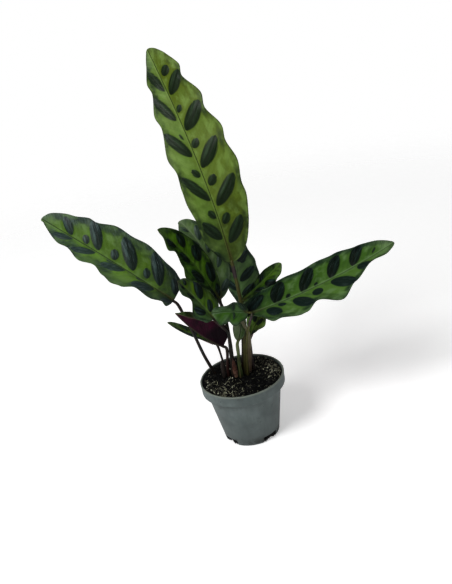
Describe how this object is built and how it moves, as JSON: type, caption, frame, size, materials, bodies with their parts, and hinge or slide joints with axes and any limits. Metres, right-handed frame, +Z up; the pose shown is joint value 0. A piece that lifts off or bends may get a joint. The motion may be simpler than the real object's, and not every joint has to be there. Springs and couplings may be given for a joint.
{
  "type": "potted rattlesnake plant",
  "caption": "Small potted foliage plant: long wavy patterned leaves on slim stalks, growing from dark soil in a round tapered plastic pot.",
  "frame": {"origin": "centre of the pot's flat underside, on the surface that it stands on", "axes": "+Z straight up from the pot's base; -Y is the front, with the tall leaf leaning back and to -X and the long right-hand leaf reaching to +X"},
  "size_m": [0.2524, 0.112, 0.2915],
  "materials": {
    "pot_plastic": "matt grey moulded plastic, scuffed and dusty, with fine dark flecks",
    "soil": "dark moist peat with pale fibres and mineral crumbs",
    "blade": "satin leaf, yellow-green with dark oval blotches above, wine purple below",
    "young_blade": "pale satin young leaf, barely patterned",
    "stalk": "smooth olive stalk with a purple-brown joint under the blade",
    "sheath": "dry papery reddish brown"
  },
  "bodies": {
    "root": {"pot": "pot_plastic", "soil": "soil", "leaf_blade_tall": "blade", "leaf_stalk_tall": "stalk", "leaf_blade_left": "blade", "leaf_stalk_left": "stalk", "leaf_blade_right": "blade", "leaf_stalk_right": "stalk", "leaf_blade_front_left": "blade", "leaf_stalk_front_left": "stalk", "leaf_blade_mid_left": "blade", "leaf_stalk_mid_left": "stalk", "leaf_blade_back": "blade", "leaf_stalk_back": "stalk", "leaf_blade_back_right": "blade", "leaf_stalk_back_right": "stalk", "leaf_blade_centre": "blade", "leaf_stalk_centre": "stalk", "leaf_blade_low_centre": "blade", "leaf_stalk_low_centre": "stalk", "leaf_blade_low_left": "blade", "leaf_stalk_low_left": "stalk", "leaf_blade_narrow": "blade", "leaf_stalk_narrow": "stalk", "leaf_blade_young": "young_blade", "leaf_stalk_young": "stalk", "leaf_blade_low_right": "blade", "leaf_stalk_low_right": "stalk", "sheath_front": "sheath", "sheath_left": "sheath", "sheath_right": "sheath"}
  },
  "joints": []
}
